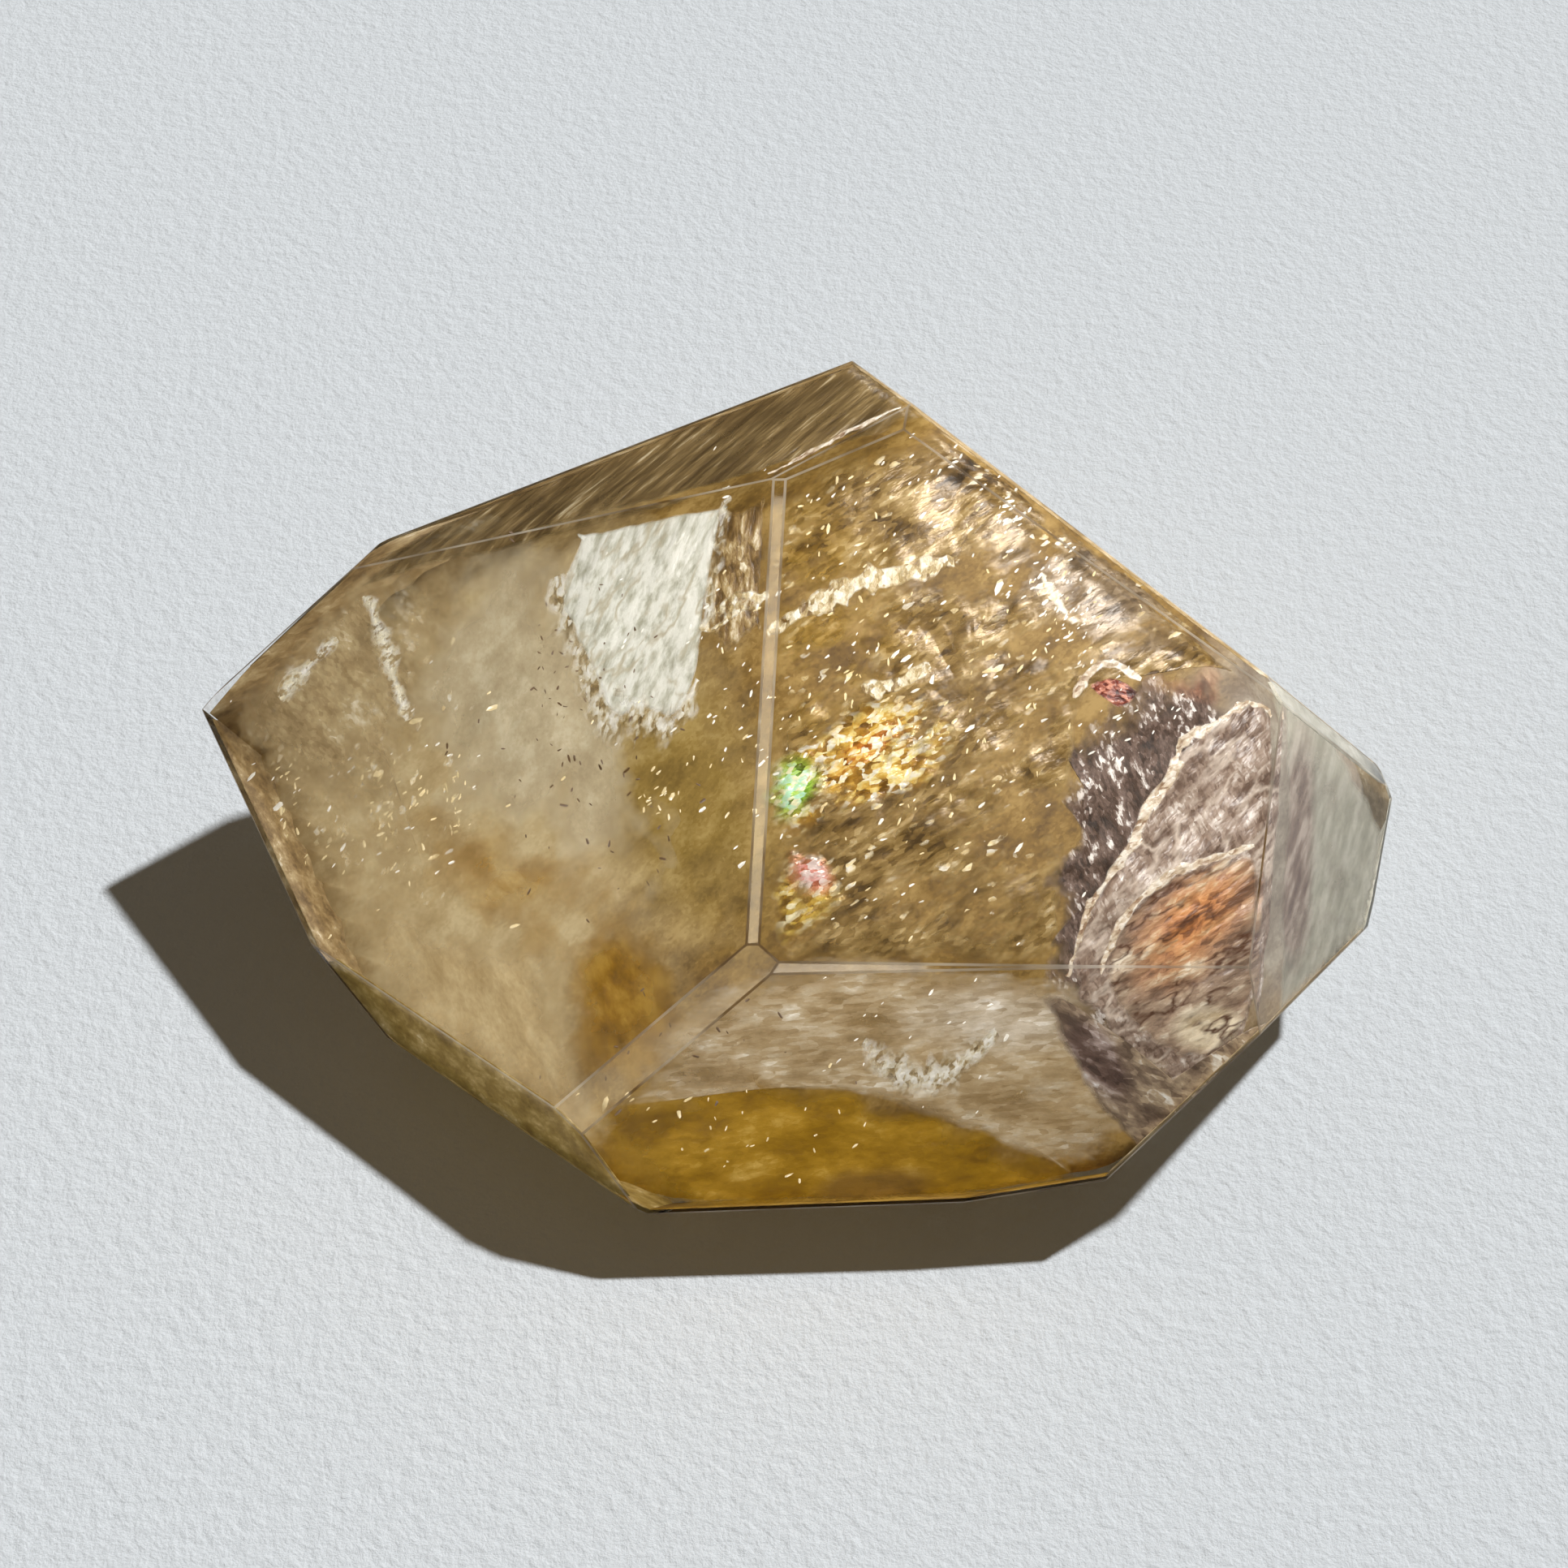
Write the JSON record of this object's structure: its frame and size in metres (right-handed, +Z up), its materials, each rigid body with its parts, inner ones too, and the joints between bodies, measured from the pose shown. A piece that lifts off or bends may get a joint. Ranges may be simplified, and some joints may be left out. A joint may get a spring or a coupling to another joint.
{
  "type": "citrine freeform",
  "caption": "Palm-sized freeform of clear honey-coloured quartz, ground to flat polished facets round a low crown, with a flat face to rest on.",
  "frame": {"origin": "on the resting face, under the middle of the stone's box", "axes": "+Z up from the resting face, +X along the longest way towards the greyish end, -Y towards the front facet"},
  "size_m": [0.0594, 0.0404, 0.0224],
  "materials": {
    "citrine": "clear honey-brown quartz, polished, with greyish-purple and rust-coloured growth layers at one end"
  },
  "bodies": {
    "root": {"citrine_crystal": "citrine"}
  },
  "joints": []
}
